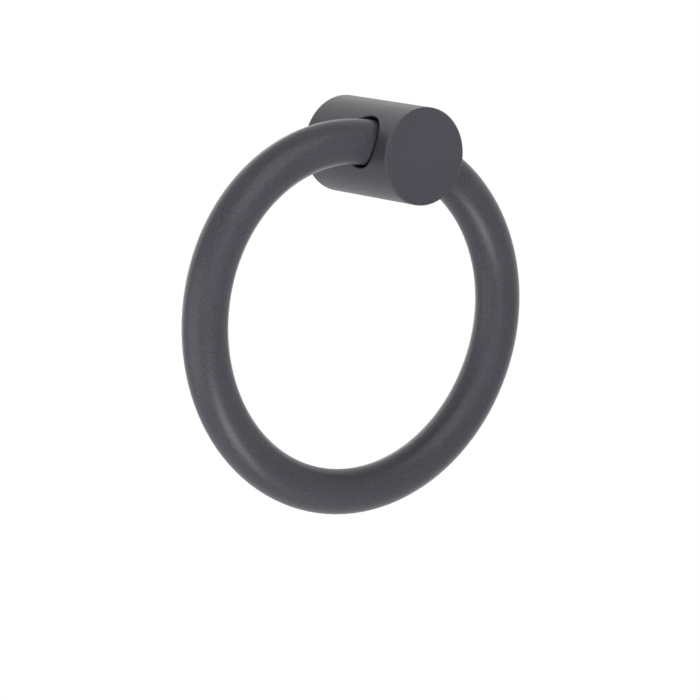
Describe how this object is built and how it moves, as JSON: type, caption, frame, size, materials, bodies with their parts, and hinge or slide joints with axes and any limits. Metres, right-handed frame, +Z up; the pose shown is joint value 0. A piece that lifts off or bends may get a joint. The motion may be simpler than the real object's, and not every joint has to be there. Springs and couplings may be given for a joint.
{
  "type": "ring pull handle",
  "caption": "Matte black ring pull handle: a ring of round bar that swings in the cross bore of a round post fixed to a door or drawer front by a screw from behind.",
  "frame": {"origin": "centre of the post's back face, at the mouth of the tapped hole, on the face of the door", "axes": "+Y into the door along the post's axis, so the post stands out along -Y; +Z up, with the ring hanging down; +X along the axis that the ring swings on"},
  "size_m": [0.09, 0.03, 0.0919],
  "materials": {
    "post_coating": "matte black powder coat on turned steel",
    "ring_coating": "matte black powder coat on bent steel bar"
  },
  "bodies": {
    "post": {"post": "post_coating"},
    "ring": {"ring": "ring_coating"}
  },
  "joints": [
    {"name": "ring_swing", "type": "hinge", "parent": "post", "child": "ring", "pos_m": [0, -0.02, 0], "axis": [-1, 0, 0], "range_deg": [-11.3, 191.3]}
  ]
}
